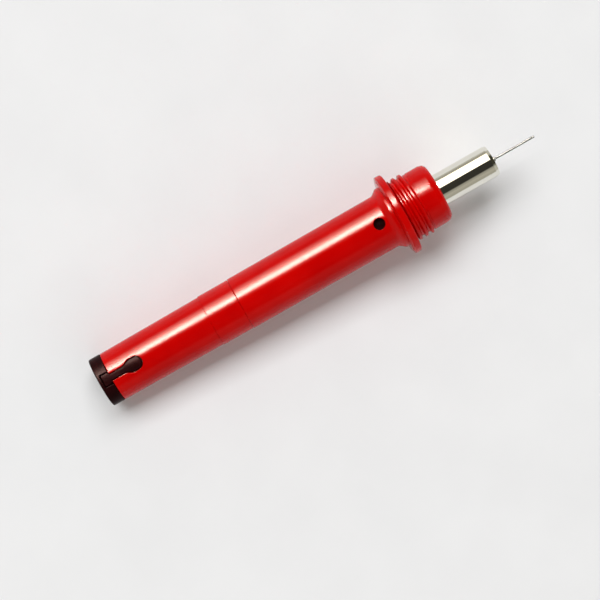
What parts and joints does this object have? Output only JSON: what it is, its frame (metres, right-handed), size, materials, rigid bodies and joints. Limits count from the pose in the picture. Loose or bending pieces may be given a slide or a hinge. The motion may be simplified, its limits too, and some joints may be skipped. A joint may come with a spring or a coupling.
{
  "type": "desoldering pump",
  "caption": "Pen-shaped spring-driven desoldering pump without its nose cap: red barrel with flange and thread, bright ram, cleaning needle, thumb knob and release lever.",
  "frame": {"origin": "middle of the length and width, at the lowest point of the flange rim, where the pump touches a table", "axes": "+X along the pump from the thumb knob to the needle tip, +Z towards the side with the release lever and the vent hole, +Y to the left of +X seen from above"},
  "size_m": [0.182, 0.0316, 0.0316],
  "materials": {
    "red_plastic": "glossy moulded",
    "black_plastic": "semi-gloss moulded",
    "chrome": "mirror plated",
    "steel": "bright ground",
    "spring_steel": "drawn wire",
    "brass": "turned",
    "acetal": "turned",
    "rubber": "moulded"
  },
  "bodies": {
    "barrel": {"end_ring": "black_plastic", "rear_barrel": "red_plastic", "coupling_collar": "red_plastic", "front_barrel": "red_plastic", "spring_seat": "steel", "rod_bush": "acetal", "neck_washer": "steel", "ram_guide": "acetal", "ram_seal": "rubber", "gland_nut": "black_plastic", "lever_pivot_pin": "steel", "ring_screw": "steel", "main_spring": "spring_steel", "lever_spring": "spring_steel"},
    "plunger": {"plunger_knob": "black_plastic", "knob_screw": "steel", "plunger_sleeve": "steel", "plunger_rod": "steel", "spring_follower": "acetal", "buffer_ring": "rubber", "ram_shell": "chrome", "ram_rear_guide": "black_plastic", "ram_rear_plug": "brass", "rod_nut": "steel", "ram_plug": "chrome", "needle_ferrule": "steel", "cleaning_needle": "spring_steel"},
    "lever": {"release_lever": "black_plastic"}
  },
  "joints": [
    {"name": "plunger_slide", "type": "slide", "parent": "barrel", "child": "plunger", "axis": [-1, 0, 0], "range_m": [0, 0.027], "deforming": ["main_spring"]},
    {"name": "lever_press", "type": "hinge", "parent": "barrel", "child": "lever", "pos_m": [-0.0835, 0, 0.023], "axis": [0, 1, 0], "range_deg": [0, 8], "stiffness_Nm_per_rad": 0.05, "springref_deg": -5.73, "deforming": ["lever_spring"]}
  ]
}
